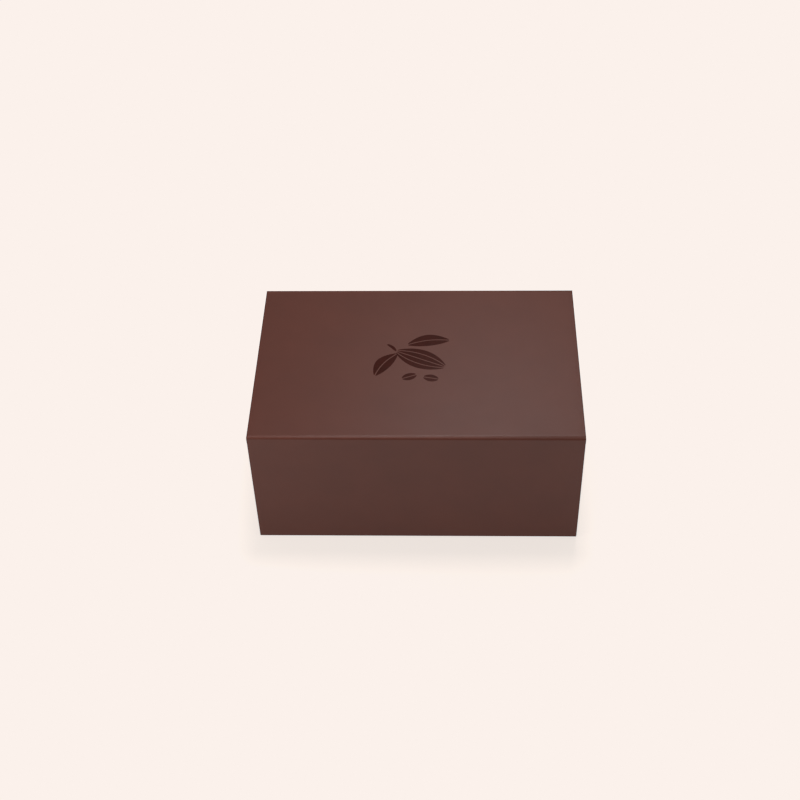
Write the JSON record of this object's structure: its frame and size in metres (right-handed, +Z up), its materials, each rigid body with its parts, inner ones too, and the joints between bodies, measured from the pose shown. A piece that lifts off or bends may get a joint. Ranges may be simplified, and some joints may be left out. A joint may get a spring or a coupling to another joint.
{
  "type": "chocolate box",
  "caption": "Rigid rectangular chocolate box: a paper-wrapped board cover with a back-hinged lid and a magnetic front flap round a tray of divided cells in two tiers.",
  "frame": {"origin": "middle of the closed box's footprint, on the table", "axes": "+X to the right along the width, -Y out of the front flap, +Y out of the spine, +Z up"},
  "size_m": [0.165, 0.11, 0.075],
  "materials": {
    "cover_paper": "matt soft-touch laminated, cocoa brown",
    "lining_paper": "uncoated, cocoa brown, a little lighter than the cover",
    "grey_board": "raw grey board",
    "divider_card": "smooth brown card, with a lighter core at its cut edges",
    "layer_card": "smooth brown card, with a lighter core at its cut edges",
    "gummed_tape": "kraft tape",
    "magnet": "nickel plated",
    "striker_steel": "zinc plated steel"
  },
  "bodies": {
    "base": {"base_board": "grey_board", "base_cover_paper": "cover_paper", "base_fold": "cover_paper", "spine_board": "grey_board", "spine_cover_paper": "cover_paper", "lid_fold": "cover_paper", "tray_floor_board": "grey_board", "tray_front_board": "grey_board", "tray_back_board": "grey_board", "tray_left_board": "grey_board", "tray_right_board": "grey_board", "tray_striker_left": "striker_steel", "tray_striker_right": "striker_steel", "corner_stay_front_left": "gummed_tape", "corner_stay_front_right": "gummed_tape", "corner_stay_back_left": "gummed_tape", "corner_stay_back_right": "gummed_tape", "tray_wrap": "cover_paper", "tray_floor_lining": "lining_paper", "layer_card": "layer_card", "lower_long_divider_1": "divider_card", "lower_long_divider_2": "divider_card", "upper_long_divider_1": "divider_card", "upper_long_divider_2": "divider_card", "lower_cross_divider_1": "divider_card", "lower_cross_divider_2": "divider_card", "lower_cross_divider_3": "divider_card", "lower_cross_divider_4": "divider_card", "upper_cross_divider_1": "divider_card", "upper_cross_divider_2": "divider_card", "upper_cross_divider_3": "divider_card", "upper_cross_divider_4": "divider_card"},
    "lid": {"lid_board": "grey_board", "lid_cover_paper": "cover_paper", "lid_lining": "lining_paper"},
    "flap": {"flap_board": "grey_board", "flap_cover_paper": "cover_paper", "flap_lining": "lining_paper", "flap_fold": "cover_paper", "flap_magnet_left": "magnet", "flap_magnet_right": "magnet"}
  },
  "joints": [
    {"name": "lid_hinge", "type": "hinge", "parent": "base", "child": "lid", "pos_m": [0, 0.05485, 0.07485], "axis": [-1, 0, 0], "range_deg": [0, 175]},
    {"name": "flap_hinge", "type": "hinge", "parent": "lid", "child": "flap", "pos_m": [0, -0.05485, 0.07485], "axis": [-1, 0, 0], "range_deg": [0, 120]}
  ]
}
